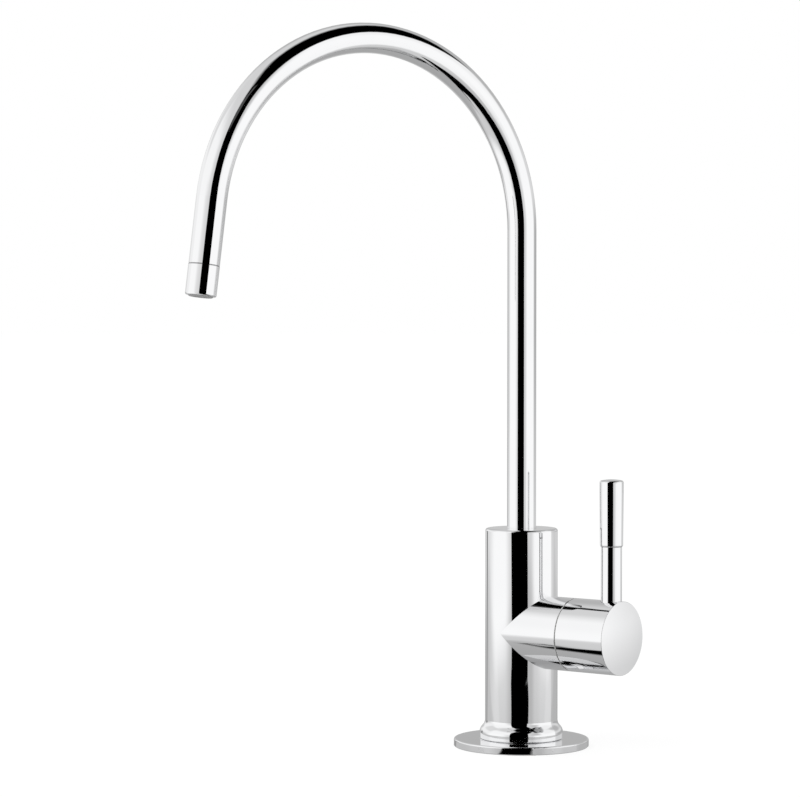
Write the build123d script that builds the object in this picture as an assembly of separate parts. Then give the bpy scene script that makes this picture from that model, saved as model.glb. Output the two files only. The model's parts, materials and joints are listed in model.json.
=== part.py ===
from build123d import *
import math
import os

os.makedirs("parts", exist_ok=True)

# Single-lever drinking-water tap with a swivelling gooseneck, in millimetres.
# Frame: +Z up, origin where the tap's axis meets the deck, +X along the valve's axis to the
# handle, -Y to the front. Nothing above the deck goes below z = 0.

# Clearances, all radial or per face
running_clearance = 0.05
seal_clearance = 0.02
thread_clearance = 0.05
slip_clearance = 0.1
face_clearance = 0.05

# Base plate and its gasket
plate_diameter = 51.0
plate_thickness = 3.0
plate_rim_width = 2.9
plate_bore_clearance = 0.65
plate_top_round = 0.6
plate_bottom_chamfer = 0.3
gasket_thickness = 1.4
gasket_bore_clearance = 1.95

# Column, collar and side boss of the valve body; the wall round the cartridge's nut sets their
# diameter
boss_wall = 3.4
column_top_round = 1.0
collar_overhang = 2.05
collar_height = 2.35
collar_foot_round = 0.5
shoulder_slope = 46.0
cove_share = 0.5
boss_axis_height = 43.7
seam_chamfer = 0.1

# Threaded shank that goes down through the deck
shank_diameter = 11.1
shank_drop = 58.0
shank_engagement = 12.0
shank_chamfer = 0.6
flow_bore_diameter = 5.2
inlet_socket_diameter = 6.5
inlet_socket_depth = 14.0
inlet_thread_length = 11.0
relief_groove_width = 1.0
relief_groove_depth = 0.6
shank_seal_thickness = 1.0
shank_seal_bore_diameter = 7.2

# Water ways in the valve body
plenum_diameter = 9.4
plenum_height = 3.0
inlet_way_diameter = 5.2
inlet_way_offset = -4.6
outlet_way_diameter = 4.8
outlet_way_offset = 3.0

# Ceramic cartridge, built up along +X from the column's axis
disc_diameter = 13.0
disc_thickness = 2.4
seat_seal_thickness = 1.6
seat_seal_bore_diameter = 6.8
port_inner_radius = 1.8
port_rim_width = 1.5
port_half_angle = 35.0
housing_wall = 1.9
housing_relief_depth = 0.9
housing_end_gap = 0.4
housing_end_land = 1.4
gland_length = 3.2
flange_overhang = 1.7
flange_thickness = 2.2
neck_wall = 2.65
neck_length = 3.4
window_length = 2.4
window_width = 8.0
nut_thread_length = 5.2
nut_hex_length = 3.8
nut_hex_across_flats = 17.0
nut_recess = 0.4
housing_ring_section = 1.5
housing_ring_groove_width = 1.8

# Cartridge stem
stem_diameter = 7.8
driver_length = 10.0
driver_width = 3.4
driver_thickness = 2.1
driver_end_play = 1.26
drive_lug_width = 2.4
drive_lug_length = 8.6
drive_lug_depth = 0.8
stem_ring_section = 1.0
stem_ring_groove_width = 1.5
inner_stem_ring_inset = 2.2
outer_stem_ring_inset = 3.0
clip_thickness = 0.7
clip_diameter = 10.4
clip_groove_depth = 0.75
clip_opening_angle = 70.0
clip_shoulder_length = 1.15
spline_diameter = 7.2
spline_end_gap = 0.5
spline_teeth = 16
spline_groove_radius = 0.3

# Handle
seam_gap = 0.4
hub_length = 20.7
hub_end_round = 0.15
hub_dome_height = 0.2
hub_recess_diameter = 21.2
hub_recess_depth = 2.0
hub_bore_depth = 12.0
lever_inset = 4.8
lever_diameter = 7.8
lever_seat_depth = 1.9
lever_length = 21.9
lever_stud_diameter = 6.0
lever_stud_length = 5.8
grip_length = 24.95
grip_diameter = 8.92
grip_foot_diameter = 8.56
grip_taper_height = 20.0
grip_foot_round = 0.7
grip_top_round = 0.9
grip_dome_height = 0.35
grip_crown_thickness = 9.6
grip_spigot_diameter = 6.0
lead_in_chamfer = 0.5
set_screw_diameter = 4.0
set_screw_length = 6.0
set_screw_chamfer = 0.4
set_screw_inset = 6.5
hex_key_across_flats = 2.0
hex_key_depth = 2.5

# Glide ring in the seam between boss and hub
glide_ring_inset = 0.8
glide_ring_width = 1.7
glide_ring_groove_depth = 0.5

# Gooseneck
tube_diameter = 11.0
tube_wall = 1.0
arch_start_height = 194.8
arch_radius = 68.5
arch_angle = 172.3
outlet_leg_length = 23.6
spout_rest_angle = 253.1

# Swivel seat of the spout in the column, with heights above the seat's floor
seat_floor_thickness = 5.2
seat_depth = 25.0
thrust_washer_thickness = 0.6
thrust_washer_bore_diameter = 6.6
nipple_bore_diameter = 5.6
nipple_shoulder_rise = 21.5
nipple_spigot_length = 9.0
spout_ring_section = 1.5
spout_ring_groove_width = 2.2
spout_ring_rises = (4.1, 8.6)
wear_ring_rise = 12.7
wear_ring_width = 2.4
wear_ring_thickness = 0.75
wear_ring_split = 0.8
retaining_rise = 17.2
retaining_groove_width = 3.0
retaining_groove_depth = 1.3
retaining_nose_diameter = 2.6
retaining_nose_length = 1.6
retaining_nose_gap = 0.2
retaining_screw_length = 6.5

# Outlet sleeve, screen and insert, placed along the outlet's axis from the seam
sleeve_step = 0.05
sleeve_length = 11.0
sleeve_end_round = 0.6
sleeve_seam_chamfer = 0.15
sleeve_spigot_length = 7.0
sleeve_spigot_wall = 1.45
sleeve_wall = 1.15
insert_seat = 2.0
insert_proud = 0.4
insert_edge_round = 0.35
screen_thickness = 0.4
screen_hole_diameter = 0.7
screen_hole_pitch = 1.15
insert_hole_diameter = 1.25
insert_hole_pitch = 1.65
insert_hole_rings = 2
screen_hole_rings = 3
outlet_ring_section = 0.9
outlet_ring_groove_width = 1.4
outlet_ring_inset = 4.0

# Clamp stack under a deck of this thickness
deck_thickness = 20.0
stack_bore_clearance = 0.25
rubber_washer_diameter = 30.0
rubber_washer_thickness = 1.6
spacer_diameter = 28.0
spacer_thickness = 3.2
spacer_rim_width = 3.0
spacer_pocket_depth = 1.2
star_washer_diameter = 18.4
star_washer_thickness = 0.9
star_tooth_count = 12
star_notch_width = 1.5
star_notch_depth = 1.6
nut_across_flats = 15.9
nut_height = 6.4
nut_chamfer = 0.7

# Derived sizes of the cartridge, along +X
disc_radius = disc_diameter / 2
port_outer_radius = disc_radius - port_rim_width
housing_radius = disc_radius + slip_clearance + housing_wall
housing_diameter = 2 * housing_radius
chamber_radius = housing_radius + slip_clearance
flange_radius = housing_radius + flange_overhang
flange_diameter = 2 * flange_radius
stem_radius = stem_diameter / 2
neck_radius = stem_radius + running_clearance + neck_wall
fixed_disc_start = seat_seal_thickness
moving_disc_start = fixed_disc_start + disc_thickness + seal_clearance
moving_disc_end = moving_disc_start + disc_thickness
driver_start = moving_disc_end + seal_clearance
driver_end = driver_start + driver_thickness
chamber_end = driver_end + driver_end_play
flange_seat = chamber_end + gland_length
flange_end = flange_seat + flange_thickness
neck_end = flange_end + neck_length
nut_thread_end = flange_end + nut_thread_length
nut_end = nut_thread_end + nut_hex_length
nut_seat_radius = flange_radius + slip_clearance
clip_start = neck_end + face_clearance
clip_end = clip_start + clip_thickness
spline_start = clip_end + clip_shoulder_length
stem_ring_positions = (chamber_end + inner_stem_ring_inset, neck_end - outer_stem_ring_inset)

# Derived sizes of the body and the handle
column_radius = nut_seat_radius + boss_wall
collar_radius = column_radius + collar_overhang
boss_face = nut_end + nut_recess
hub_start = boss_face + seam_gap
hub_end = hub_start + hub_length
hub_bore_end = hub_start + hub_bore_depth
spline_end = hub_bore_end - spline_end_gap
set_screw_offset = hub_start + set_screw_inset
lever_offset = hub_end - lever_inset
hub_top = boss_axis_height + column_radius
lever_seat_height = hub_top - lever_seat_depth
grip_foot_height = lever_seat_height + lever_length
grip_top_height = grip_foot_height + grip_length
grip_bore_top = grip_top_height - grip_crown_thickness
glide_ring_radius = column_radius - glide_ring_inset
glide_ring_bore_radius = glide_ring_radius - glide_ring_width

# Derived sizes of the shank, its seal and the plate
shank_radius = shank_diameter / 2
shank_top = plate_thickness + shank_engagement
thread_socket_top = shank_top + shank_seal_thickness
plenum_top = thread_socket_top + plenum_height
plate_bore_radius = shank_radius + plate_bore_clearance
gasket_recess_radius = plate_diameter / 2 - plate_rim_width
relief_groove_bottom = inlet_thread_length - shank_drop

# Derived sizes of the spout, its seat in the column and its outlet
tube_radius = tube_diameter / 2
tube_bore_radius = tube_radius - tube_wall
spout_socket_radius = tube_radius + running_clearance
socket_floor = boss_axis_height + chamber_radius + seat_floor_thickness
column_top = socket_floor + seat_depth
nipple_shoulder = socket_floor + nipple_shoulder_rise
spout_ring_heights = [socket_floor + rise for rise in spout_ring_rises]
wear_ring_height = socket_floor + wear_ring_rise
retaining_height = socket_floor + retaining_rise
sleeve_radius = tube_radius + sleeve_step
sleeve_spigot_radius = tube_bore_radius - thread_clearance
insert_radius = sleeve_radius - sleeve_wall - thread_clearance

# Derived sizes of the clamp stack, downwards from the deck's underside
stack_bore_radius = shank_radius + stack_bore_clearance
rubber_bottom = -deck_thickness - rubber_washer_thickness
spacer_bottom = rubber_bottom - spacer_thickness
star_bottom = spacer_bottom - star_washer_thickness
nut_bottom = star_bottom - nut_height

# Placement of pieces that are turned about the valve's axis: their own z runs along +X
valve_axis = Plane(origin=(0, 0, boss_axis_height), x_dir=(0, 1, 0), z_dir=(1, 0, 0)).location
spout_turn = Rot(0, 0, spout_rest_angle)


def rod(radius, low, high):
    """Cylinder on the z axis between two heights."""
    return Pos(0, 0, low) * Cylinder(
        radius, high - low, align=(Align.CENTER, Align.CENTER, Align.MIN)
    )


def ring(outer_radius, inner_radius, low, high):
    """Flat ring on the z axis between two heights."""
    return rod(outer_radius, low, high) - rod(inner_radius, low, high)


def seal_ring(floor_radius, section, height):
    """Round-section ring that lies on a groove floor of the given radius."""
    major = floor_radius + section / 2
    return Pos(0, 0, height) * Torus(major, section / 2)


def turned(*edges):
    """Solid of revolution about z from an outline given as edges in (radius, height)."""
    outline = Curve() + list(edges)
    return revolve(make_face(Plane.XZ * outline), axis=Axis.Z)


def quarter_round(start, end):
    """Convex quarter circle that rounds an outer corner of an outline, from start to end."""
    inner, outer = sorted([start, end])
    reach = math.sqrt(0.5)
    middle = (
        inner[0] + (outer[0] - inner[0]) * reach,
        outer[1] + (inner[1] - outer[1]) * reach,
    )
    return ThreePointArc(start, middle, end)


def dome(edge, height):
    """Shallow arc from the edge of a turned end up to its centre, which stands proud by height."""
    radius = (edge[0] ** 2 + height**2) / (2 * height)
    centre = edge[1] + height - radius
    middle = (edge[0] / 2, centre + math.sqrt(radius**2 - edge[0] ** 2 / 4))
    return ThreePointArc(edge, middle, (0, edge[1] + height))


def hexagon(across_flats, low, high):
    """Hexagonal prism on the z axis."""
    flat = RegularPolygon(across_flats / 2, 6, major_radius=False)
    return Pos(0, 0, low) * extrude(flat, high - low)


def chamfered_rod(radius, low, high, chamfer_low, chamfer_high):
    """Cylinder whose two ends are chamfered."""
    points = [
        (0, low),
        (radius - chamfer_low, low),
        (radius, low + chamfer_low),
        (radius, high - chamfer_high),
        (radius - chamfer_high, high),
        (0, high),
    ]
    corners = [point for point, before in zip(points, points[-1:] + points) if point != before]
    return turned(Polyline(*corners, close=True))


def sector(centre_angle, low, high):
    """Sector-shaped water port of a ceramic disc."""
    start = math.radians(centre_angle - port_half_angle)
    middle = math.radians(centre_angle)
    stop = math.radians(centre_angle + port_half_angle)

    def at(radius, angle):
        return (radius * math.cos(angle), radius * math.sin(angle))

    inner = ThreePointArc(
        at(port_inner_radius, start), at(port_inner_radius, middle), at(port_inner_radius, stop)
    )
    outer = ThreePointArc(
        at(port_outer_radius, start), at(port_outer_radius, middle), at(port_outer_radius, stop)
    )
    sides = [
        Line(at(port_inner_radius, start), at(port_outer_radius, start)),
        Line(at(port_inner_radius, stop), at(port_outer_radius, stop)),
    ]
    face = make_face(Curve() + [inner, outer] + sides)
    return Pos(0, 0, low) * extrude(face, high - low)


def hexagonal_holes(rings, pitch, radius, low, high):
    """Holes on a triangular grid, out to the given number of rings about the centre."""
    holes = []
    for row in range(-rings, rings + 1):
        for column in range(-rings, rings + 1):
            if abs(row + column) <= rings:
                x = pitch * (column + row / 2)
                y = pitch * row * math.sqrt(3) / 2
                holes.append(Pos(x, y, 0) * rod(radius, low, high))
    return holes


def along_y(shape, height):
    """Turns a piece on the z axis so that its z runs along +Y at the given height."""
    return Pos(0, 0, height) * Rot(-90, 0, 0) * shape


def grub_screw(diameter, length):
    """Headless screw from z = 0 inwards to z = length, with a hexagon key socket at z = 0."""
    key_socket = hexagon(hex_key_across_flats, 0, hex_key_depth)
    thread = chamfered_rod(diameter / 2, 0, length, set_screw_chamfer, set_screw_chamfer)
    return thread - key_socket


def make_escutcheon_plate():
    radius = plate_diameter / 2
    bore = plate_bore_radius
    top = plate_thickness
    round_start = (radius, top - plate_top_round)
    round_end = (radius - plate_top_round, top)
    plate = turned(
        Polyline((bore, top), (bore, 0), (radius - plate_bottom_chamfer, 0)),
        Line((radius - plate_bottom_chamfer, 0), (radius, plate_bottom_chamfer)),
        Line((radius, plate_bottom_chamfer), round_start),
        quarter_round(round_start, round_end),
        Line(round_end, (bore, top)),
    )
    return plate - rod(gasket_recess_radius, 0, gasket_thickness)


def make_base_gasket():
    outer = gasket_recess_radius - slip_clearance
    inner = shank_radius + gasket_bore_clearance
    return ring(outer, inner, 0, gasket_thickness)


def column_and_collar():
    """Column with its rounded top and the sloping shoulder of the collar on the plate."""
    foot = plate_thickness
    bead_start = foot + collar_height
    slope = math.radians(shoulder_slope)
    radius_sum = (collar_radius - column_radius) / (1 - math.cos(slope))
    cove_radius = cove_share * radius_sum
    bead_radius = radius_sum - cove_radius
    cove_top = bead_start + radius_sum * math.sin(slope)

    def on_bead(angle):
        radius = collar_radius - bead_radius * (1 - math.cos(angle))
        return (radius, bead_start + bead_radius * math.sin(angle))

    def on_cove(angle):
        radius = column_radius + cove_radius * (1 - math.cos(angle))
        return (radius, cove_top - cove_radius * math.sin(angle))

    foot_start = (collar_radius - collar_foot_round, foot)
    foot_end = (collar_radius, foot + collar_foot_round)
    top_start = (column_radius, column_top - column_top_round)
    top_end = (column_radius - column_top_round, column_top)
    return turned(
        Polyline(top_end, (0, column_top), (0, foot), foot_start),
        quarter_round(foot_start, foot_end),
        Line(foot_end, on_bead(0)),
        ThreePointArc(on_bead(0), on_bead(slope / 2), on_bead(slope)),
        ThreePointArc(on_bead(slope), on_cove(slope / 2), on_cove(0)),
        Line(on_cove(0), top_start),
        quarter_round(top_start, top_end),
    )


def make_valve_body():
    boss = valve_axis * chamfered_rod(column_radius, 0, boss_face, 0, seam_chamfer)
    body = column_and_collar() + boss
    body -= rod(shank_radius + thread_clearance, plate_thickness, thread_socket_top)
    body -= rod(plenum_diameter / 2, thread_socket_top, plenum_top)
    inlet_radius = inlet_way_diameter / 2
    inlet_rise_start = plenum_top - plenum_height / 2
    inlet_rise = rod(inlet_radius, inlet_rise_start, boss_axis_height)
    body -= Pos(inlet_way_offset, 0, 0) * inlet_rise
    body -= Pos(inlet_way_offset, 0, boss_axis_height) * Sphere(inlet_radius)
    body -= valve_axis * rod(inlet_radius, inlet_way_offset, 0)
    body -= valve_axis * rod(chamber_radius, 0, flange_seat)
    body -= valve_axis * rod(nut_seat_radius, flange_seat, boss_face)
    outlet_rise = rod(outlet_way_diameter / 2, boss_axis_height, socket_floor)
    body -= Pos(outlet_way_offset, 0, 0) * outlet_rise
    body -= rod(spout_socket_radius, socket_floor, column_top)
    groove_start = boss_face - glide_ring_groove_depth
    groove_outer = glide_ring_radius + slip_clearance
    groove_inner = glide_ring_bore_radius - slip_clearance
    body -= valve_axis * ring(groove_outer, groove_inner, groove_start, boss_face)
    screw_hole = rod(set_screw_diameter / 2 + thread_clearance, 0, collar_radius)
    body -= along_y(screw_hole, retaining_height)
    return body


def make_threaded_shank():
    groove_floor = shank_radius - relief_groove_depth
    groove_top = relief_groove_bottom + relief_groove_width
    shank = chamfered_rod(shank_radius, -shank_drop, shank_top, shank_chamfer, shank_chamfer)
    shank -= ring(shank_diameter, groove_floor, relief_groove_bottom, groove_top)
    shank -= rod(flow_bore_diameter / 2, -shank_drop, shank_top)
    shank -= rod(inlet_socket_diameter / 2, -shank_drop, inlet_socket_depth - shank_drop)
    return shank


def make_shank_seal():
    return ring(shank_radius, shank_seal_bore_diameter / 2, shank_top, thread_socket_top)


def make_cartridge_body():
    relief_radius = housing_radius - housing_relief_depth
    land_end = housing_end_gap + housing_end_land
    outer = rod(housing_radius, housing_end_gap, flange_seat)
    outer += rod(flange_radius, flange_seat, flange_end)
    outer += rod(neck_radius, flange_end, neck_end)
    outer -= ring(housing_diameter, relief_radius, land_end, chamber_end)
    groove_floor = chamber_radius - seal_clearance - housing_ring_section
    groove_middle = (chamber_end + flange_seat) / 2
    groove_start = groove_middle - housing_ring_groove_width / 2
    groove_end = groove_middle + housing_ring_groove_width / 2
    outer -= ring(housing_diameter, groove_floor, groove_start, groove_end)
    outer -= rod(disc_radius + slip_clearance, housing_end_gap, chamber_end)
    outer -= rod(stem_radius + running_clearance, chamber_end, neck_end)
    window_start = chamber_end - window_length
    window = Box(
        window_width, housing_diameter + flange_diameter, window_length,
        align=(Align.CENTER, Align.CENTER, Align.MIN),
    )
    outer -= Pos(0, 0, window_start) * window
    return valve_axis * outer


def make_cartridge_seat_seal():
    seal = ring(disc_radius, seat_seal_bore_diameter / 2, 0, seat_seal_thickness)
    return valve_axis * seal


def make_fixed_disc():
    disc_end = fixed_disc_start + disc_thickness
    disc = rod(disc_radius, fixed_disc_start, disc_end)
    for centre_angle in (0, 180):
        disc -= sector(centre_angle, fixed_disc_start, disc_end)
    return valve_axis * disc


def make_cartridge_o_ring():
    floor = chamber_radius - seal_clearance - housing_ring_section
    return valve_axis * seal_ring(floor, housing_ring_section, (chamber_end + flange_seat) / 2)


def make_cartridge_nut():
    nut = rod(nut_seat_radius - thread_clearance, flange_end, nut_thread_end)
    nut += hexagon(nut_hex_across_flats, nut_thread_end, nut_end)
    nut -= rod(neck_radius + slip_clearance, flange_end, nut_end)
    return valve_axis * nut


def make_glide_ring():
    start = boss_face - glide_ring_groove_depth
    end = hub_start - face_clearance
    return valve_axis * ring(glide_ring_radius, glide_ring_bore_radius, start, end)


def make_moving_disc():
    disc = rod(disc_radius, moving_disc_start, moving_disc_end)
    for centre_angle in (90, 270):
        disc -= sector(centre_angle, moving_disc_start, moving_disc_end)
    slot = Box(
        drive_lug_length + 2 * slip_clearance,
        drive_lug_width + 2 * slip_clearance,
        drive_lug_depth + slip_clearance,
        align=(Align.CENTER, Align.CENTER, Align.MAX),
    )
    disc -= Pos(0, 0, moving_disc_end) * slot
    return valve_axis * disc


def make_cartridge_stem():
    lug = Box(
        drive_lug_length, drive_lug_width, drive_lug_depth + driver_start - moving_disc_end,
        align=(Align.CENTER, Align.CENTER, Align.MAX),
    )
    driver = Box(
        driver_length, driver_width, driver_thickness,
        align=(Align.CENTER, Align.CENTER, Align.MIN),
    )
    stem = Pos(0, 0, driver_start) * (lug + driver)
    stem += rod(stem_radius, driver_end, spline_start)
    stem += chamfered_rod(spline_diameter / 2, spline_start, spline_end, 0, spline_groove_radius)
    ring_floor = stem_radius + running_clearance - seal_clearance - stem_ring_section
    for position in stem_ring_positions:
        low = position - stem_ring_groove_width / 2
        high = position + stem_ring_groove_width / 2
        stem -= ring(stem_diameter, ring_floor, low, high)
    stem -= ring(stem_diameter, stem_radius - clip_groove_depth, clip_start, clip_end)
    groove = Pos(spline_diameter / 2, 0, 0) * rod(spline_groove_radius, spline_start, spline_end)
    for tooth in range(spline_teeth):
        stem -= Rot(0, 0, 360 / spline_teeth * (tooth + 0.5)) * groove
    return valve_axis * stem


def make_stem_o_rings():
    floor = stem_radius + running_clearance - seal_clearance - stem_ring_section
    rings = [seal_ring(floor, stem_ring_section, position) for position in stem_ring_positions]
    return valve_axis * Compound(children=rings)


def make_stem_clip():
    inner = stem_radius - clip_groove_depth + seal_clearance
    clip = ring(clip_diameter / 2, inner, clip_start, clip_end)
    reach = clip_diameter
    half = math.radians(clip_opening_angle / 2)
    mouth = make_face(
        Polyline(
            (0, 0),
            (reach * math.cos(half), reach * math.sin(half)),
            (reach * math.cos(half), -reach * math.sin(half)),
            close=True,
        )
    )
    clip -= Pos(0, 0, clip_start) * extrude(mouth, clip_thickness)
    return valve_axis * clip


def make_handle_hub():
    round_start = (column_radius, hub_end - hub_end_round)
    round_end = (column_radius - hub_end_round, hub_end)
    hub = turned(
        Polyline(
            (0, hub_end + hub_dome_height),
            (0, hub_start),
            (column_radius - seam_chamfer, hub_start),
            (column_radius, hub_start + seam_chamfer),
            round_start,
        ),
        quarter_round(round_start, round_end),
        dome(round_end, hub_dome_height),
    )
    hub -= rod(hub_recess_diameter / 2, hub_start, hub_start + hub_recess_depth)
    hub -= rod(spline_diameter / 2 + slip_clearance, hub_start, hub_bore_end)
    hub = valve_axis * hub
    stud_floor = lever_seat_height - lever_stud_length - slip_clearance
    lever_seat = rod(lever_diameter / 2 + slip_clearance, lever_seat_height, hub_top)
    lever_thread = rod(lever_stud_diameter / 2 + thread_clearance, stud_floor, lever_seat_height)
    hub -= Pos(lever_offset, 0, 0) * (lever_seat + lever_thread)
    screw_hole = rod(
        set_screw_diameter / 2 + thread_clearance, boss_axis_height - column_radius,
        boss_axis_height,
    )
    hub -= Pos(set_screw_offset, 0, 0) * screw_hole
    return hub


def make_lever_stem():
    lever = rod(lever_diameter / 2, lever_seat_height, grip_foot_height)
    stud_bottom = lever_seat_height - lever_stud_length
    lever += rod(lever_stud_diameter / 2, stud_bottom, lever_seat_height)
    spigot_top = grip_bore_top - slip_clearance
    lever += chamfered_rod(
        grip_spigot_diameter / 2, grip_foot_height, spigot_top, 0, lead_in_chamfer
    )
    return Pos(lever_offset, 0, 0) * lever


def make_lever_grip():
    foot_radius = grip_foot_diameter / 2
    radius = grip_diameter / 2
    crown = grip_top_height - grip_dome_height
    foot_start = (foot_radius - grip_foot_round, grip_foot_height)
    foot_end = (foot_radius, grip_foot_height + grip_foot_round)
    taper_end = (radius, grip_foot_height + grip_taper_height)
    round_start = (radius, crown - grip_top_round)
    round_end = (radius - grip_top_round, crown)
    grip = turned(
        Polyline((0, grip_top_height), (0, grip_foot_height), foot_start),
        quarter_round(foot_start, foot_end),
        Polyline(foot_end, taper_end, round_start),
        quarter_round(round_start, round_end),
        dome(round_end, grip_dome_height),
    )
    grip -= rod(grip_spigot_diameter / 2 + thread_clearance, grip_foot_height, grip_bore_top)
    return Pos(lever_offset, 0, 0) * grip


def make_hub_set_screw():
    tip = boss_axis_height - spline_diameter / 2 - seal_clearance
    screw = grub_screw(set_screw_diameter, set_screw_length)
    return Pos(set_screw_offset, 0, tip - set_screw_length) * screw


def arch_end():
    """Point and direction at the end of the arch, in the spout's own upright plane."""
    angle = math.radians(arch_angle)
    point = Vector(
        arch_radius * (1 - math.cos(angle)), 0, arch_start_height + arch_radius * math.sin(angle)
    )
    direction = Vector(math.sin(angle), 0, math.cos(angle))
    return point, direction


def outlet_axis():
    """Placement of the outlet pieces: their own z = 0 is the seam and z runs out of the spout."""
    point, direction = arch_end()
    seam = point + direction * outlet_leg_length
    plane = Plane(origin=seam, x_dir=(0, 1, 0), z_dir=direction)
    return spout_turn * plane.location


def make_spout_tube():
    section = Circle(tube_radius) - Circle(tube_bore_radius)
    riser = Pos(0, 0, nipple_shoulder) * extrude(section, arch_start_height - nipple_shoulder)
    centre_line = Axis((arch_radius, 0, arch_start_height), (0, 1, 0))
    arch = revolve(Pos(0, 0, arch_start_height) * section, centre_line, arch_angle)
    point, direction = arch_end()
    leg_plane = Plane(origin=point, x_dir=(0, 1, 0), z_dir=direction)
    leg_length = outlet_leg_length
    leg = leg_plane.location * (
        chamfered_rod(tube_radius, 0, leg_length, 0, sleeve_seam_chamfer)
        - rod(tube_bore_radius, 0, leg_length)
    )
    return spout_turn * (riser + arch + leg)


def make_spout_nipple():
    bottom = socket_floor + thrust_washer_thickness + face_clearance
    spigot_top = nipple_shoulder + nipple_spigot_length
    nipple = chamfered_rod(tube_radius, bottom, nipple_shoulder, lead_in_chamfer, 0)
    nipple += rod(tube_bore_radius - thread_clearance, nipple_shoulder, spigot_top)
    nipple -= rod(nipple_bore_diameter / 2, bottom, spigot_top)
    ring_floor = spout_socket_radius - seal_clearance - spout_ring_section
    for height in spout_ring_heights:
        low = height - spout_ring_groove_width / 2
        high = height + spout_ring_groove_width / 2
        nipple -= ring(tube_diameter, ring_floor, low, high)
    wear_floor = spout_socket_radius - seal_clearance - wear_ring_thickness - seal_clearance
    wear_low = wear_ring_height - wear_ring_width / 2 - face_clearance
    wear_high = wear_ring_height + wear_ring_width / 2 + face_clearance
    nipple -= ring(tube_diameter, wear_floor, wear_low, wear_high)
    retaining_low = retaining_height - retaining_groove_width / 2
    retaining_high = retaining_height + retaining_groove_width / 2
    retaining_floor = tube_radius - retaining_groove_depth
    nipple -= ring(tube_diameter, retaining_floor, retaining_low, retaining_high)
    return nipple


def make_spout_o_rings():
    floor = spout_socket_radius - seal_clearance - spout_ring_section
    rings = [seal_ring(floor, spout_ring_section, height) for height in spout_ring_heights]
    return Compound(children=rings)


def make_spout_wear_ring():
    outer = spout_socket_radius - seal_clearance
    inner = outer - wear_ring_thickness
    low = wear_ring_height - wear_ring_width / 2
    high = wear_ring_height + wear_ring_width / 2
    split = Box(
        tube_diameter, wear_ring_split, high - low, align=(Align.MIN, Align.CENTER, Align.MIN)
    )
    return ring(outer, inner, low, high) - Pos(0, 0, low) * split


def make_spout_thrust_washer():
    outer = spout_socket_radius - slip_clearance
    inner = thrust_washer_bore_diameter / 2
    return ring(outer, inner, socket_floor, socket_floor + thrust_washer_thickness)


def make_spout_retaining_screw():
    nose_tip = tube_radius - retaining_groove_depth + retaining_nose_gap
    nose_root = nose_tip + retaining_nose_length
    thread_end = nose_root + retaining_screw_length
    thread = Pos(0, 0, thread_end) * Rot(180, 0, 0) * grub_screw(
        set_screw_diameter, retaining_screw_length
    )
    nose = rod(retaining_nose_diameter / 2, nose_tip, nose_root)
    return along_y(thread + nose, retaining_height)


def make_outlet_sleeve():
    radius = sleeve_radius
    round_start = (radius, sleeve_length - sleeve_end_round)
    round_end = (radius - sleeve_end_round, sleeve_length)
    sleeve = turned(
        Polyline(
            round_end,
            (0, sleeve_length),
            (0, 0),
            (radius - sleeve_seam_chamfer, 0),
            (radius, sleeve_seam_chamfer),
            round_start,
        ),
        quarter_round(round_start, round_end),
    )
    spigot_bore_radius = sleeve_spigot_radius - sleeve_spigot_wall
    sleeve += rod(sleeve_spigot_radius, -sleeve_spigot_length, 0)
    sleeve -= rod(spigot_bore_radius, -sleeve_spigot_length, insert_seat)
    sleeve -= rod(insert_radius + thread_clearance, insert_seat, sleeve_length)
    ring_floor = tube_bore_radius - seal_clearance - outlet_ring_section
    low = -outlet_ring_inset - outlet_ring_groove_width / 2
    high = -outlet_ring_inset + outlet_ring_groove_width / 2
    sleeve -= ring(tube_diameter, ring_floor, low, high)
    return outlet_axis() * sleeve


def make_outlet_o_ring():
    floor = tube_bore_radius - seal_clearance - outlet_ring_section
    return outlet_axis() * seal_ring(floor, outlet_ring_section, -outlet_ring_inset)


def make_outlet_screen():
    end = insert_seat + screen_thickness
    screen = rod(insert_radius, insert_seat, end)
    screen -= hexagonal_holes(
        screen_hole_rings, screen_hole_pitch, screen_hole_diameter / 2, insert_seat, end
    )
    return outlet_axis() * screen


def make_outlet_insert():
    radius = insert_radius
    start = insert_seat + screen_thickness
    end = sleeve_length + insert_proud
    round_start = (radius, end - insert_edge_round)
    round_end = (radius - insert_edge_round, end)
    insert = turned(
        Polyline(round_end, (0, end), (0, start), (radius, start), round_start),
        quarter_round(round_start, round_end),
    )
    insert -= hexagonal_holes(
        insert_hole_rings, insert_hole_pitch, insert_hole_diameter / 2, start, end
    )
    return outlet_axis() * insert


def make_rubber_washer():
    return ring(rubber_washer_diameter / 2, stack_bore_radius, rubber_bottom, -deck_thickness)


def make_deck_spacer():
    spacer = ring(spacer_diameter / 2, stack_bore_radius, spacer_bottom, rubber_bottom)
    pocket_outer = spacer_diameter / 2 - spacer_rim_width
    pocket_inner = star_washer_diameter / 2
    return spacer - ring(
        pocket_outer, pocket_inner, spacer_bottom, spacer_bottom + spacer_pocket_depth
    )


def make_star_washer():
    washer = ring(star_washer_diameter / 2, stack_bore_radius, star_bottom, spacer_bottom)
    notch = Box(
        star_notch_depth, star_notch_width, star_washer_thickness,
        align=(Align.MAX, Align.CENTER, Align.MIN),
    )
    notch = Pos(star_washer_diameter / 2, 0, star_bottom) * notch
    for tooth in range(star_tooth_count):
        washer -= Rot(0, 0, 360 / star_tooth_count * tooth) * notch
    return washer


def make_lock_nut():
    corner_radius = nut_across_flats / math.sqrt(3)
    blank = hexagon(nut_across_flats, nut_bottom, star_bottom)
    blank &= chamfered_rod(corner_radius, nut_bottom, star_bottom, nut_chamfer, nut_chamfer)
    return blank - rod(shank_radius + thread_clearance, nut_bottom, star_bottom)


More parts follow.
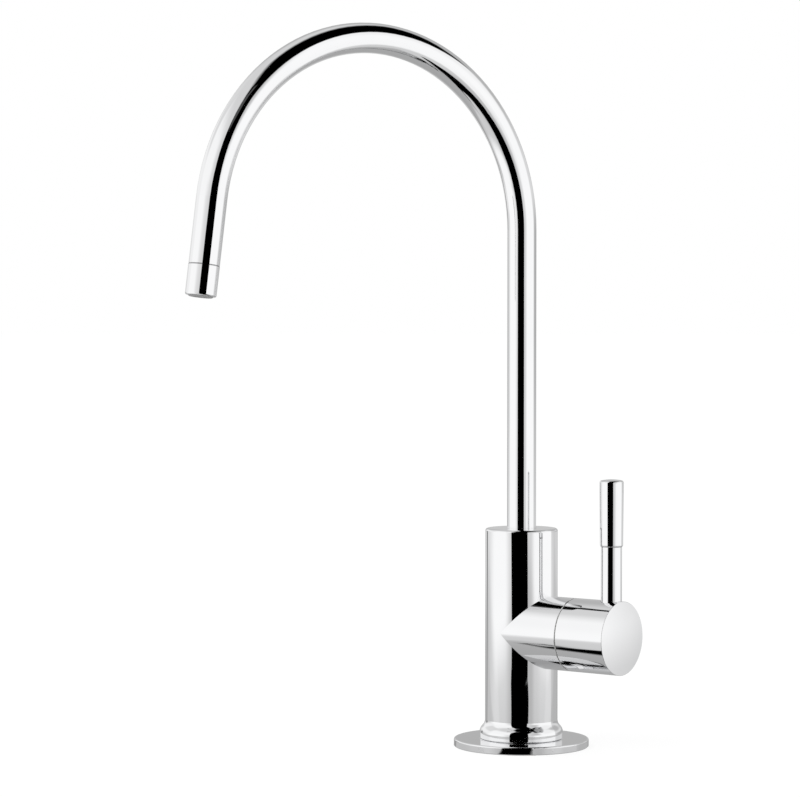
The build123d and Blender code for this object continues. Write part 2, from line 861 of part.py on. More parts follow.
pieces = {
    "escutcheon_plate": make_escutcheon_plate,
    "base_gasket": make_base_gasket,
    "valve_body": make_valve_body,
    "threaded_shank": make_threaded_shank,
    "shank_seal": make_shank_seal,
    "cartridge_body": make_cartridge_body,
    "cartridge_seat_seal": make_cartridge_seat_seal,
    "fixed_disc": make_fixed_disc,
    "cartridge_o_ring": make_cartridge_o_ring,
    "cartridge_nut": make_cartridge_nut,
    "glide_ring": make_glide_ring,
    "spout_thrust_washer": make_spout_thrust_washer,
    "spout_retaining_screw": make_spout_retaining_screw,
    "spout_tube": make_spout_tube,
    "spout_nipple": make_spout_nipple,
    "spout_o_rings": make_spout_o_rings,
    "spout_wear_ring": make_spout_wear_ring,
    "outlet_sleeve": make_outlet_sleeve,
    "outlet_o_ring": make_outlet_o_ring,
    "outlet_screen": make_outlet_screen,
    "outlet_insert": make_outlet_insert,
    "handle_hub": make_handle_hub,
    "lever_stem": make_lever_stem,
    "lever_grip": make_lever_grip,
    "hub_set_screw": make_hub_set_screw,
    "cartridge_stem": make_cartridge_stem,
    "moving_disc": make_moving_disc,
    "stem_o_rings": make_stem_o_rings,
    "stem_clip": make_stem_clip,
    "rubber_washer": make_rubber_washer,
    "deck_spacer": make_deck_spacer,
    "star_washer": make_star_washer,
    "lock_nut": make_lock_nut,
}

for name, make in pieces.items():
    export_step(make(), f"parts/{name}.step")
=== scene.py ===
"""A chrome drinking-water tap: swivelling gooseneck spout, upright side lever, threaded shank.

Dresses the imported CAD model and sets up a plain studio. Metres, +Z up, the frame of the CAD.
Azimuths are in degrees from the direction towards the camera, positive to the picture's right.
"""

import json
import math

import bpy
from mathutils import Matrix, Vector


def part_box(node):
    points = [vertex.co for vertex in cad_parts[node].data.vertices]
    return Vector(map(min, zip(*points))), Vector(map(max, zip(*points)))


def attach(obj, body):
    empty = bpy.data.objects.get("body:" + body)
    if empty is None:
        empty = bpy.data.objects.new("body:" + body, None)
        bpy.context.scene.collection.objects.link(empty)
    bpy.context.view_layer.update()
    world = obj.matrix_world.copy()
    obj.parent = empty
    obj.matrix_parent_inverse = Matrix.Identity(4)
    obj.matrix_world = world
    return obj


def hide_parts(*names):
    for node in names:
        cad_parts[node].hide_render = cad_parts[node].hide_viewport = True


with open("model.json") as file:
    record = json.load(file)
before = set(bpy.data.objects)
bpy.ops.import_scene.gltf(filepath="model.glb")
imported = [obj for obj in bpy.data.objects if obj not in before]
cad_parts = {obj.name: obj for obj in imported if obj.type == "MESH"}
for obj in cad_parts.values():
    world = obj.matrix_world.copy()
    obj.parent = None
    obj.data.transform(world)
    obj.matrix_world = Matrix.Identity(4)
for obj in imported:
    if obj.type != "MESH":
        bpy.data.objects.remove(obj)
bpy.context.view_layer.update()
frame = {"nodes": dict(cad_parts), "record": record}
nodes = frame["nodes"]

MM = 0.001
UP = Vector((0, 0, 1))

# The picture.
PHOTO_WIDTH = 800
FOCAL_PIXELS = 2912.4
SENSOR_WIDTH = 36.0
CLIP_START = 0.05
CLIP_END = 20.0

# The camera, placed from the column's axis.
CAMERA_TURN = math.radians(38.1)
CAMERA_DIP = math.radians(1.73)
CAMERA_DISTANCE = 1.0983
CAMERA_OFFSET = 0.0459
CAMERA_HEIGHT = 0.1646
PICTURE_RIGHT = Vector((math.cos(CAMERA_TURN), math.sin(CAMERA_TURN), 0))
TOWARDS_CAMERA = Vector((math.sin(CAMERA_TURN), -math.cos(CAMERA_TURN), 0))

# Light levels: what the eye sees behind the tap, what lights plain surfaces, and what is unlit.
PAPER_WHITE = 1.0
ROOM_LIGHT = 0.8
BLACK = 0.0

# The tent round the table, as a mirror sees it: its bare wall, and panels as (light, azimuth), painted
# one over the other. An azimuth or elevation is (middle, half width, feather) in degrees.
SEAM_AZIMUTH = (-142, 5, 4)
WALL_LIGHT = 0.76
WALL_PANELS = {
    "back": (0.66, (180, 24, 12)),
    "front_fill": (0.74, (0, 44, 8)),
    "right_spill": (0.82, (100, 9, 9)),
    "right_softbox": (1.07, (71, 37, 8)),
    "left_spill": (0.82, (-104, 18, 10)),
    "left_softbox": (1.07, (-78, 32, 12)),
    "seam": (0.22, SEAM_AZIMUTH),
}

# Panels over the wall that the table doesn't pick up, as (light, azimuth, elevation). The ceiling takes
# over between its two elevations, and the last panel lies over it too.
SKY_PANELS = {
    "right_corner": (0.6, (40, 14, 9), (28, 18, 8)),
    "back_rim": (0.46, (142, 30, 12), (0.5, 3.5, 3)),
    "low_back": (0.43, (180, 26, 12), (9.5, 3.5, 5)),
    "upper_back": (0.5, (163, 45, 12), (38, 22, 6)),
    "upper_softbox": (1.03, (-85, 58, 16), (29, 15, 12)),
    "left_back": (0.78, (-125, 20, 8), (38, 20, 8)),
    "left_rim": (0.97, (-130, 28, 9), (14, 10, 5)),
}
CEILING_LIGHT = 0.72
CEILING_ELEVATIONS = (36, 58)
UPPER_RIGHT_PANEL = (0.97, (87, 21, 13), (45, 27, 8))

# The lamp, which plain surfaces catch and mirrors don't.
LAMP_SIZE = (1.0, 1.0)
LAMP_POWER = 6.0
LAMP_PLACE = TOWARDS_CAMERA * 0.8 - PICTURE_RIGHT * 0.9 + UP * 1.3
LAMP_TARGET = UP * 0.12

# The white floor.
FLOOR_REACH = 60.0
FLOOR_SIDES = 96
FLOOR_OVERLAP = 0.05 * MM
FLOOR_PAPER = (0.9, 0.9, 0.9, 1)
FLOOR_GLOW = 1.1
FLOOR_GLOW_SHARE = 0.75

# The studio's glossy table, as mirrors see it. A zone is (where it starts, where it is whole), in metres
# to either side of the column or towards the camera. A spread moves a side zone outwards further back.
GLASSY_IOR = 1.5
TABLE_HEIGHT = -0.012
TABLE_REACH = 3.0
TABLE_LIGHT = 0.42
TABLE_ROUGHNESS = 0.03
NEAR_SHARE = 0.41
NEAR_SIDE_ZONE = (0.12, 0.17)
BEFORE_FRONT_ZONE = (0.035, 0.065)
BEFORE_SIDE_ZONE = (0.02, 0.07)
BEHIND_SPREAD = 0.8
FAR_SIDE_ZONE = (0.05, 0.55)
FAR_BACK_ZONE = (-0.3, -0.85)
BEYOND_FRONT = 0.12
BEYOND_SPREAD = 0.35
BEYOND_SIDE_ZONE = (0.115, 0.315)
BEYOND_FRESNEL = (0.25, 0.12)
MIRROR_NEAR = 0.79
MIRROR_BEFORE = 0.64
MIRROR_FAR = 1.0
MIRROR_SEAM = 0.25

# The dark cards round the table, in millimetres. An outline's points are to the picture's right of the
# column, and up for a card in front, or towards the camera for one that lies flat. A rise is a flat
# card's height over the table.
CARD_FLOOR = TABLE_HEIGHT / MM
CARD_FEATHER = 6
MITRE_LIMIT = 0.4
STEEP_FRESNEL = (0.36, 0.22)
GAP_FEATHER = 5
FRONT_CORNER = (-137, 203)
FRONT_SLOPE = 97 / 225
FRONT_GAP = [
    (-137, CARD_FLOOR), (88, CARD_FLOOR), (88, 470), (-105, 470), (-105, 380), (-112, 330), (-120, 265),
    (-137, 215),
]
FRONT_GLINT = [
    (-106, 322), (-82, 322), (-60, 352), (-52, 400), (-25, 440), (-62, 445), (-98, 400), (-104, 360),
]
GLINT_LIGHT = 0.085
GLINT_LEAD = 3
GLINT_FEATHER = 14
CUT_OUT_RISE = 0.5
TABLE_CUT_OUT = [
    (-82, 36), (-67, 35), (-54, 37), (-43, 40), (-25, 45), (-12, 48), (6, 49), (22, 105), (41, 131),
    (63, 180), (82, 230), (92, 292), (-205, 292), (-172, 240), (-136, 200), (-104, 160), (-75, 116),
    (-60, 96), (-62, 60), (-71, 52), (-80, 46),
]
STRIP_RISE = 0.8
TABLE_STRIP = [(-108, 38), (-86, 36), (-70, 38), (-70, 48), (-84, 49), (-108, 49)]
WEDGE_RISE = 1.1
TABLE_WEDGE = [
    (4, 50), (26, 57), (88, 82), (135, 103), (135, 116), (90, 120), (74, 150), (72, 190), (60, 180),
    (38, 131), (18, 105),
]
FLAG_HEIGHT = 500
FLAG_FEATHER = 50
OVERHEAD_FLAG = [
    (-130, 90), (-65, 20), (60, -130), (180, -160), (250, -158), (350, -205), (365, -180), (372, -100),
    (370, -10), (335, 75), (290, 115), (262, 160), (240, 260), (240, 420), (260, 900), (-120, 900),
    (-110, 420), (-112, 220), (-130, 160),
]

# Chrome, with a faint haze from handling.
CHROME_LIGHT = (0.90, 0.90, 0.905, 1)
CHROME_DARK = (0.86, 0.865, 0.875, 1)
CHROME_ROUGHNESS = (0.025, 0.05)
CHROME_GRAIN = 55.0
CHROME_DETAIL = 3.0

# The other finishes: colour where light and dark, roughness, metallic, grain and its stretch.
EVEN = (1, 1, 1)
TURNED = (1, 1, 14)
GRAIN_DETAIL = 6.0
GRAIN_DEPTH = 0.04 * MM
FINISHES = {
    "turned_brass": ((0.76, 0.58, 0.30, 1), (0.60, 0.44, 0.20, 1), (0.18, 0.34), 1.0, 300.0, TURNED),
    "black_rubber": ((0.035, 0.035, 0.037, 1), (0.02, 0.02, 0.022, 1), (0.5, 0.7), 0.0, 900.0, EVEN),
    "red_fibre": ((0.48, 0.14, 0.09, 1), (0.34, 0.08, 0.05, 1), (0.7, 0.9), 0.0, 1500.0, EVEN),
    "white_ceramic": ((0.91, 0.90, 0.87, 1), (0.86, 0.85, 0.82, 1), (0.08, 0.16), 0.0, 400.0, EVEN),
    "white_nylon": ((0.86, 0.86, 0.83, 1), (0.80, 0.80, 0.76, 1), (0.35, 0.5), 0.0, 700.0, EVEN),
    "dark_plastic": ((0.09, 0.09, 0.095, 1), (0.06, 0.06, 0.065, 1), (0.4, 0.55), 0.0, 1200.0, EVEN),
    "steel": ((0.66, 0.66, 0.66, 1), (0.54, 0.54, 0.55, 1), (0.2, 0.32), 1.0, 500.0, TURNED),
}
# The outlet's insert: white nylon painted grey, as painted shade for the outlet's recess.
NYLON_PAINTED_SHADE = ((0.40, 0.40, 0.40, 1), (0.33, 0.33, 0.33, 1), (0.35, 0.5), 0.0, 700.0, EVEN)

# The domed end of the handle's hub.
HUB_DOME_RADIUS = 459.1 * MM
HUB_DOME_HEIGHT = 0.2 * MM
HUB_DOME_EDGE = 0.01 * MM

# The spout's outlet: the arch starts upright, and its end and the straight leg give the outlet's axis.
SPOUT_TURN = math.radians(253.1)
ARCH_ANGLE = math.radians(172.3)
ARCH_RADIUS = 68.5 * MM
ARCH_START_HEIGHT = 194.8 * MM
OUTLET_LEG_LENGTH = 23.6 * MM
# Painted shade of the open seam round the sleeve's upper end: its width, soft edge and grey.
SEAM_SHADE_WIDTH = 0.3 * MM
SEAM_SHADE_EDGE = 0.05 * MM
SEAM_SHADE_GREY = (0.36, 0.36, 0.365, 1)

# The shank's screw thread and bores.
THREAD_PITCH = 25.4 / 24 * MM
THREAD_DEPTH = 0.62 * MM
THREAD_CREST = 0.14
THREAD_ROOT = 0.2
THREAD_STEPS = 10
THREAD_SIDES = 64
SHANK_CHAMFER = 0.6 * MM
SHANK_RELIEF_TOP = -46.0 * MM
SHANK_RELIEF_BOTTOM = -47.0 * MM
SHANK_FLOW_RADIUS = 2.6 * MM
SHANK_SOCKET_RADIUS = 3.25 * MM
SHANK_SOCKET_DEPTH = 14.0 * MM


class Graph:
    """A node tree, with its nodes made in one call each."""

    def __init__(self, tree):
        self.tree = tree
        tree.nodes.clear()

    def add(self, kind, inputs=None, **settings):
        node = self.tree.nodes.new(kind)
        for name, value in settings.items():
            setattr(node, name, value)
        for key, value in (inputs or {}).items():
            self.feed(node.inputs[key], value)
        return node

    def feed(self, socket, value):
        if isinstance(value, bpy.types.NodeSocket):
            self.tree.links.new(value, socket)
        else:
            socket.default_value = value

    def math(self, operation, *values):
        return self.add("ShaderNodeMath", dict(enumerate(values)), operation=operation).outputs[0]

    def smooth(self, value, low, high):
        """0 below low and 1 above high; low may be the larger of the two."""
        node = self.add(
            "ShaderNodeMapRange",
            {"Value": value, "From Min": low, "From Max": high},
            interpolation_type="SMOOTHSTEP",
        )
        return node.outputs[0]

    def dot(self, vector, axis):
        node = self.add("ShaderNodeVectorMath", {0: vector, 1: axis}, operation="DOT_PRODUCT")
        return node.outputs["Value"]

    def blend(self, share, first, second):
        """The first number where share is 0, the second where it is 1."""
        return self.add("ShaderNodeMix", {0: share, 2: first, 3: second}).outputs[0]

    def tint(self, share, first, second):
        """The first colour where share is 0, the second where it is 1."""
        node = self.add("ShaderNodeMix", {0: share, 6: first, 7: second}, data_type="RGBA")
        return node.outputs[2]

    def place(self):
        return self.add("ShaderNodeTexCoord").outputs["Object"]

    def fresnel(self):
        return self.add("ShaderNodeFresnel", {"IOR": GLASSY_IOR}).outputs[0]

    def show(self, share, first, second):
        """Sends a mix of two shaders to the material's surface."""
        mixed = self.add("ShaderNodeMixShader", {0: share, 1: first.outputs[0], 2: second.outputs[0]})
        self.add("ShaderNodeOutputMaterial", {"Surface": mixed.outputs[0]})


def fade(graph, away, half, feather):
    """1 where away is within half of 0 either way, and 0 beyond, with a soft step of twice the feather."""
    return graph.smooth(graph.math("ABSOLUTE", away), half + feather, half - feather)


def elevation_band(graph, middle, half, feather):
    return fade(graph, graph.math("SUBTRACT", graph.elevation, middle), half, feather)


def azimuth_band(graph, middle, half, feather):
    """A band of the azimuth, which goes on round the circle."""
    away = graph.math("SUBTRACT", graph.azimuth, middle)
    return fade(graph, graph.math("WRAP", away, 180.0, -180.0), half, feather)


def panel(graph, below, light, azimuth, elevation=None):
    """Paints a soft-edged panel over what is below it."""
    share = azimuth_band(graph, *azimuth)
    if elevation:
        share = graph.math("MULTIPLY", share, elevation_band(graph, *elevation))
    return graph.blend(share, below, light)


def find_azimuth(graph, direction):
    """Gives the graph the azimuth of a vector, in degrees from the direction towards the camera."""
    right, front = graph.dot(direction, PICTURE_RIGHT), graph.dot(direction, TOWARDS_CAMERA)
    graph.azimuth = graph.math("MULTIPLY", graph.math("ARCTAN2", right, front), 180 / math.pi)


def wall_light(graph):
    """The white tent round the table: a softbox on each side, dimmer corners and a dark seam."""
    light = WALL_LIGHT
    for panel_light, azimuth in WALL_PANELS.values():
        light = panel(graph, light, panel_light, azimuth)
    return light


def make_world():
    """White for the eye, an even light for plain surfaces, and the tent for mirrors."""
    world = bpy.data.worlds.new("Studio")
    world.use_nodes = True
    world.cycles.sampling_method = "NONE"
    bpy.context.scene.world = world
    graph = Graph(world.node_tree)
    direction = graph.add("ShaderNodeTexCoord").outputs["Generated"]
    find_azimuth(graph, direction)
    rise = graph.math("ARCSINE", graph.dot(direction, UP))
    graph.elevation = graph.math("MULTIPLY", rise, 180 / math.pi)

    light = wall_light(graph)
    for sky_panel in SKY_PANELS.values():
        light = panel(graph, light, *sky_panel)
    light = graph.blend(graph.smooth(graph.elevation, *CEILING_ELEVATIONS), light, CEILING_LIGHT)
    light = panel(graph, light, *UPPER_RIGHT_PANEL)

    path = graph.add("ShaderNodeLightPath").outputs
    mirrored = graph.math("MAXIMUM", path["Is Glossy Ray"], path["Is Transmission Ray"])
    light = graph.blend(mirrored, ROOM_LIGHT, light)
    light = graph.blend(path["Is Camera Ray"], light, PAPER_WHITE)
    background = graph.add("ShaderNodeBackground", {"Color": light})
    graph.add("ShaderNodeOutputWorld", {"Surface": background.outputs[0]})


def new_material(name):
    material = bpy.data.materials.new(name)
    material.use_nodes = True
    return material, Graph(material.node_tree)


def make_surface(name, metallic, light, dark, roughness, mottle):
    """A surface whose colour and roughness follow one mottle, given as (scale, detail, stretch)."""
    material, graph = new_material(name)
    shader = graph.add("ShaderNodeBsdfPrincipled", {"Metallic": metallic})
    graph.add("ShaderNodeOutputMaterial", {"Surface": shader.outputs[0]})
    scale, detail, stretch = mottle
    place = graph.add("ShaderNodeMapping", {"Vector": graph.place(), "Scale": stretch}).outputs[0]
    noise = graph.add("ShaderNodeTexNoise", {"Vector": place, "Scale": scale, "Detail": detail})
    graph.mottle = noise.outputs["Fac"]
    graph.feed(shader.inputs["Base Color"], graph.tint(graph.mottle, light, dark))
    graph.feed(shader.inputs["Roughness"], graph.blend(graph.mottle, *roughness))
    return material, graph, shader


def make_chrome(name):
    mottle = (CHROME_GRAIN, CHROME_DETAIL, EVEN)
    return make_surface(name, 1.0, CHROME_LIGHT, CHROME_DARK, CHROME_ROUGHNESS, mottle)


def make_hub_chrome():
    """Chrome with the exact normal of the hub's domed end, which the mesh has only roughly at its middle."""
    material, graph, shader = make_chrome("Hub_chrome")
    low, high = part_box("handle_hub")
    middle = (low + high) / 2
    place = graph.place()
    centre = (high.x - HUB_DOME_RADIUS, middle.y, middle.z)
    outward = graph.add("ShaderNodeVectorMath", {0: place, 1: centre}, operation="SUBTRACT").outputs[0]
    outward = graph.add(
        "ShaderNodeVectorTransform",
        {0: outward},
        vector_type="NORMAL",
        convert_from="OBJECT",
        convert_to="WORLD",
    ).outputs[0]
    dome_start = high.x - HUB_DOME_HEIGHT
    on_dome = graph.smooth(graph.dot(place, (1, 0, 0)), dome_start, dome_start + HUB_DOME_EDGE)
    plain = graph.add("ShaderNodeNewGeometry").outputs["Normal"]
    normal = graph.add("ShaderNodeMix", {0: on_dome, 4: plain, 5: outward}, data_type="VECTOR").outputs[1]
    normal = graph.add("ShaderNodeVectorMath", {0: normal}, operation="NORMALIZE").outputs[0]
    graph.feed(shader.inputs["Normal"], normal)
    return material


def make_sleeve_chrome_seam_shade():
    """Chrome with painted shade: a dark grey line round the sleeve's upper end, where the open seam's gap
    lies.
    """
    material, graph, shader = make_chrome("Sleeve_chrome_seam_shade")
    ahead = Vector((math.cos(SPOUT_TURN), math.sin(SPOUT_TURN), 0))
    axis = ahead * math.sin(ARCH_ANGLE) + UP * math.cos(ARCH_ANGLE)
    seam = ahead * (ARCH_RADIUS * (1 - math.cos(ARCH_ANGLE)))
    seam += UP * (ARCH_START_HEIGHT + ARCH_RADIUS * math.sin(ARCH_ANGLE)) + axis * OUTLET_LEG_LENGTH
    along = graph.math("SUBTRACT", graph.dot(graph.place(), axis), seam.dot(axis))
    # Painted shade: within the seam's width, the chrome's colour turns to the seam's grey.
    unshaded = graph.smooth(along, SEAM_SHADE_WIDTH, SEAM_SHADE_WIDTH + SEAM_SHADE_EDGE)
    colour = shader.inputs["Base Color"].links[0].from_socket
    graph.feed(shader.inputs["Base Color"], graph.tint(unshaded, SEAM_SHADE_GREY, colour))
    return material


def make_finish(name, light, dark, roughness, metallic, grain, stretch):
    """A finish whose mottle also stands out as a fine relief."""
    mottle = (grain, GRAIN_DETAIL, stretch)
    material, graph, shader = make_surface(name, metallic, light, dark, roughness, mottle)
    relief = graph.add("ShaderNodeBump", {"Height": graph.mottle, "Distance": GRAIN_DEPTH, "Strength": 1.0})
    graph.feed(shader.inputs["Normal"], relief.outputs[0])
    return material


def make_materials():
    """A material for each of the record's slots."""
    materials = {"polished_chrome": make_chrome("Polished_chrome")[0]}
    for slot, finish in FINISHES.items():
        materials[slot] = make_finish(slot.capitalize(), *finish)
    materials["steel"].name = "Bright_steel"
    return materials


def dress_cad(materials):
    for part in frame["record"]["subparts"]:
        piece = nodes[part["node"]]
        piece.data.materials.clear()
        piece.data.materials.append(materials[part["material_slot"]])
    nodes["handle_hub"].data.materials[0] = make_hub_chrome()
    # The sleeve's chrome gets painted shade along its open seam.
    nodes["outlet_sleeve"].data.materials[0] = make_sleeve_chrome_seam_shade()
    # The insert's white nylon is painted grey for the shade in the outlet's recess.
    nodes["outlet_insert"].data.materials[0] = make_finish("Nylon_painted_shade", *NYLON_PAINTED_SHADE)


def make_mesh(name, vertices, faces, material):
    mesh = bpy.data.meshes.new(name)
    mesh.from_pydata([tuple(v) for v in vertices], [], faces)
    mesh.materials.append(material)
    piece = bpy.data.objects.new(name, mesh)
    bpy.context.scene.collection.objects.link(piece)
    return piece


def ring_of(radius, height, sides):
    """A ring of points round the column's axis; radius is a number, or a function of the turn in turns."""
    points = []
    for side in range(sides):
        turn = side / sides
        reach = radius(turn) if callable(radius) else radius
        angle = math.tau * turn
        points.append((reach * math.cos(angle), reach * math.sin(angle), height))
    return points


def join_rings(here, there, sides):
    """Faces from the ring whose first point is here to the ring whose first point is there."""
    faces = []
    for side in range(sides):
        after = (side + 1) % sides
        faces.append((here + side, here + after, there + after, there + side))
    return faces


def thread_reach(height, bottom, top, radius):
    """The shank's radius at a height, as a function of the turn. Chamfers and groove cut the thread."""
    from_end = min(height - bottom, top - height)
    limit = radius - max(0.0, SHANK_CHAMFER - from_end)
    if SHANK_RELIEF_BOTTOM <= height <= SHANK_RELIEF_TOP:
        limit = radius - THREAD_DEPTH

    def reach(turn):
        phase = (height / THREAD_PITCH - turn) % 1.0
        from_crest = abs(2 * phase - 1)
        share = (from_crest - THREAD_CREST) / (1 - THREAD_CREST - THREAD_ROOT)
        return min(limit, radius - THREAD_DEPTH * min(1.0, max(0.0, share)))

    return reach


def make_shank(material):
    """The shank with its real screw thread, as one closed tube of rings: up outside, down the bore."""
    low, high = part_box("threaded_shank")
    radius, bottom, top = high.x, low.z, high.z
    rows = round((top - bottom) / THREAD_PITCH * THREAD_STEPS)
    rings = []
    for row in range(rows + 1):
        height = bottom + (top - bottom) * row / rows
        rings.append(ring_of(thread_reach(height, bottom, top, radius), height, THREAD_SIDES))
    step = bottom + SHANK_SOCKET_DEPTH
    rings.append(ring_of(SHANK_FLOW_RADIUS, top, THREAD_SIDES))
    rings.append(ring_of(SHANK_FLOW_RADIUS, step, THREAD_SIDES))
    rings.append(ring_of(SHANK_SOCKET_RADIUS, step, THREAD_SIDES))
    rings.append(ring_of(SHANK_SOCKET_RADIUS, bottom, THREAD_SIDES))
    faces = []
    for row in range(len(rings)):
        after = (row + 1) % len(rings)
        faces += join_rings(row * THREAD_SIDES, after * THREAD_SIDES, THREAD_SIDES)
    vertices = [point for ring in rings for point in ring]
    shank = make_mesh("Threaded_shank_cut", vertices, faces, material)
    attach(shank, "base")
    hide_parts("threaded_shank")


def make_floor():
    """A white floor, which keeps the tap's soft shadow. It is open under the plate, so no faces coincide."""
    material, graph = new_material("Floor_white")
    paper = graph.add("ShaderNodeBsdfDiffuse", {"Color": FLOOR_PAPER})
    glow = graph.add("ShaderNodeEmission", {"Color": (1, 1, 1, 1), "Strength": FLOOR_GLOW})
    eye = graph.add("ShaderNodeLightPath").outputs["Is Camera Ray"]
    graph.show(graph.math("MULTIPLY", eye, FLOOR_GLOW_SHARE), paper, glow)
    plate_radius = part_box("escutcheon_plate")[1].y
    opening = ring_of(plate_radius - FLOOR_OVERLAP, 0, FLOOR_SIDES)
    edge = ring_of(FLOOR_REACH, 0, FLOOR_SIDES)
    floor = make_mesh("Floor", edge + opening, join_rings(0, FLOOR_SIDES, FLOOR_SIDES), material)
    floor.visible_glossy = False


def spot(side, front, height):
    """A point of the studio in millimetres: to the picture's right of the column, to the camera, and up."""
    return (PICTURE_RIGHT * side + TOWARDS_CAMERA * front + UP * height) * MM


def show_in_mirrors_only(piece):
    piece.visible_camera = False
    piece.visible_diffuse = False
    piece.visible_shadow = False
    piece.visible_volume_scatter = False


def narrowed(graph, side, front, limit, slope):
    """The distance to the side, less the slope's share of how far the place lies behind the limit."""
    behind = graph.math("MINIMUM", graph.math("SUBTRACT", front, limit), 0.0)
    return graph.math("ADD", side, graph.math("MULTIPLY", behind, slope))


def make_table():
    """The studio's glossy table: dim under the tap, as light as the tent to its sides and far behind."""
    material, graph = new_material("Table_light")
    place = graph.place()
    find_azimuth(graph, place)
    side = graph.math("ABSOLUTE", graph.dot(place, PICTURE_RIGHT))
    front = graph.dot(place, TOWARDS_CAMERA)
    share = graph.fresnel()

    spread = narrowed(graph, side, front, 0.0, BEHIND_SPREAD)
    before = graph.smooth(front, *BEFORE_FRONT_ZONE)
    before = graph.math("MULTIPLY", before, graph.smooth(side, *BEFORE_SIDE_ZONE))
    near = graph.math("MAXIMUM", graph.smooth(spread, *NEAR_SIDE_ZONE), before)
    near = graph.math("MULTIPLY", near, NEAR_SHARE)
    far = graph.math("MAXIMUM", graph.smooth(spread, *FAR_SIDE_ZONE), graph.smooth(front, *FAR_BACK_ZONE))
    beyond = narrowed(graph, side, front, BEYOND_FRONT, BEYOND_SPREAD)
    beyond = graph.smooth(beyond, *BEYOND_SIDE_ZONE)
    beyond = graph.math("MULTIPLY", beyond, graph.smooth(share, *BEYOND_FRESNEL))
    lit = graph.math("MAXIMUM", graph.math("MAXIMUM", near, far), beyond)

    mirror = graph.blend(far, graph.blend(before, MIRROR_NEAR, MIRROR_BEFORE), MIRROR_FAR)
    mirror = graph.blend(azimuth_band(graph, *SEAM_AZIMUTH), mirror, MIRROR_SEAM)
    glow = graph.add("ShaderNodeEmission", {"Color": graph.blend(lit, TABLE_LIGHT, wall_light(graph))})
    gloss = graph.add("ShaderNodeBsdfGlossy", {"Color": mirror, "Roughness": TABLE_ROUGHNESS})
    graph.show(share, glow, gloss)
    corners = [
        (x * TABLE_REACH, y * TABLE_REACH, TABLE_HEIGHT) for x, y in ((-1, -1), (1, -1), (1, 1), (-1, 1))
    ]
    show_in_mirrors_only(make_mesh("Table", corners, [(0, 1, 2, 3)], material))


def feathered(corners, feather):
    """The corners moved in and out by half the feather: the edges of a card's whole part and of its fade."""
    count = len(corners)
    facing = sum((corners[i].cross(corners[(i + 1) % count]) for i in range(count)), Vector()).normalized()
    inner, outer = [], []
    for i, corner in enumerate(corners):
        before = (corner - corners[i - 1]).normalized().cross(facing)
        after = (corners[(i + 1) % count] - corner).normalized().cross(facing)
        outward = (before + after).normalized()
        shift = outward * (feather / 2 / max(MITRE_LIMIT, outward.dot(before)))
        inner.append(corner - shift)
        outer.append(corner + shift)
    return inner, outer


def make_card(name, outline, light, feather, steep_only=False):
    """A flat card whose edge fades out over the feather, in millimetres. The outline goes round it once.

    A steep_only card is clear to the rays that graze it.
    """
    material, graph = new_material(name)
    cover = graph.add("ShaderNodeAttribute", attribute_name="cover").outputs["Fac"]
    if steep_only:
        cover = graph.math("MULTIPLY", cover, graph.smooth(graph.fresnel(), *STEEP_FRESNEL))
    clear = graph.add("ShaderNodeBsdfTransparent")
    glow = graph.add("ShaderNodeEmission", {"Color": (light, light, light, 1)})
    graph.show(cover, clear, glow)

    inner, outer = feathered([spot(*corner) for corner in outline], feather * MM)
    count = len(outline)
    faces = [tuple(range(count))] + join_rings(0, count, count)
    card = make_mesh(name, inner + outer, faces, material)
    cover = card.data.attributes.new("cover", "FLOAT", "POINT")
    cover.data.foreach_set("value", [1.0] * count + [0.0] * count)
    show_in_mirrors_only(card)


def upright(outline, lead=0):
    """An outline on the slanted plane in front of the table, brought nearer to the tap by the lead."""
    corner_side, corner_front = FRONT_CORNER
    return [
        (side, corner_front + (side - corner_side) * FRONT_SLOPE - lead, height) for side, height in outline
    ]


def level(outline, height):
    """An outline that lies flat at a height."""
    return [(side, front, height) for side, front in outline]


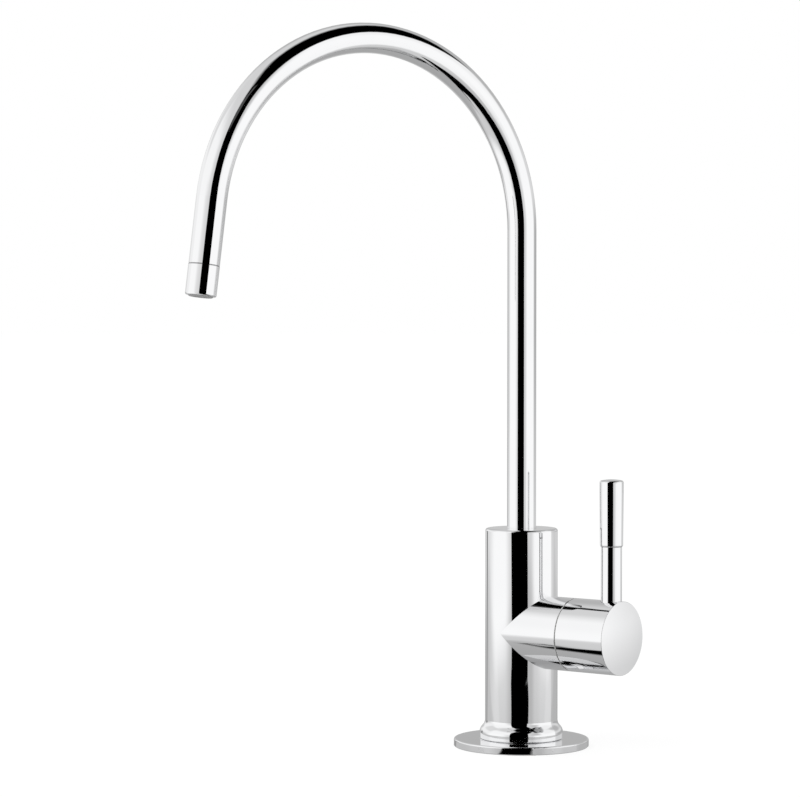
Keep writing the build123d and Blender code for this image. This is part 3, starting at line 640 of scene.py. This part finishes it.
def make_dark_cards():
    """What is black round the table: the gap that the camera looks through, a cut-out and a flag."""
    make_card("Front_gap", upright(FRONT_GAP), BLACK, GAP_FEATHER)
    make_card("Front_glint", upright(FRONT_GLINT, GLINT_LEAD), GLINT_LIGHT, GLINT_FEATHER)
    make_card("Table_cut_out", level(TABLE_CUT_OUT, CARD_FLOOR + CUT_OUT_RISE), BLACK, CARD_FEATHER)
    strip = level(TABLE_STRIP, CARD_FLOOR + STRIP_RISE)
    make_card("Table_strip", strip, BLACK, CARD_FEATHER, steep_only=True)
    wedge = level(TABLE_WEDGE, CARD_FLOOR + WEDGE_RISE)
    make_card("Table_wedge", wedge, BLACK, CARD_FEATHER, steep_only=True)
    make_card("Overhead_flag", level(OVERHEAD_FLAG, FLAG_HEIGHT), BLACK, FLAG_FEATHER)


def make_camera():
    ahead = Matrix.Rotation(-CAMERA_DIP, 3, PICTURE_RIGHT) @ -TOWARDS_CAMERA
    above = PICTURE_RIGHT.cross(ahead)
    camera = bpy.data.objects.new("Camera", bpy.data.cameras.new("Camera"))
    camera.data.sensor_width = SENSOR_WIDTH
    camera.data.lens = FOCAL_PIXELS / PHOTO_WIDTH * SENSOR_WIDTH
    camera.data.clip_start, camera.data.clip_end = CLIP_START, CLIP_END
    place = TOWARDS_CAMERA * CAMERA_DISTANCE - PICTURE_RIGHT * CAMERA_OFFSET + UP * CAMERA_HEIGHT
    turn = Matrix((PICTURE_RIGHT, above, -ahead)).transposed().to_4x4()
    camera.matrix_world = Matrix.Translation(place) @ turn
    bpy.context.scene.collection.objects.link(camera)
    bpy.context.scene.camera = camera


def make_lamp():
    lamp = bpy.data.objects.new("Softbox", bpy.data.lights.new("Softbox", "AREA"))
    lamp.data.shape = "RECTANGLE"
    lamp.data.size, lamp.data.size_y = LAMP_SIZE
    lamp.data.energy = LAMP_POWER
    lamp.location = LAMP_PLACE
    lamp.rotation_euler = (LAMP_TARGET - LAMP_PLACE).to_track_quat("-Z", "Y").to_euler()
    lamp.visible_glossy = False
    lamp.visible_camera = False
    bpy.context.scene.collection.objects.link(lamp)


make_camera()
make_world()
make_floor()
make_table()
make_dark_cards()
make_lamp()
materials = make_materials()
dress_cad(materials)
make_shank(materials["turned_brass"])
bpy.context.scene.view_settings.view_transform = "Standard"
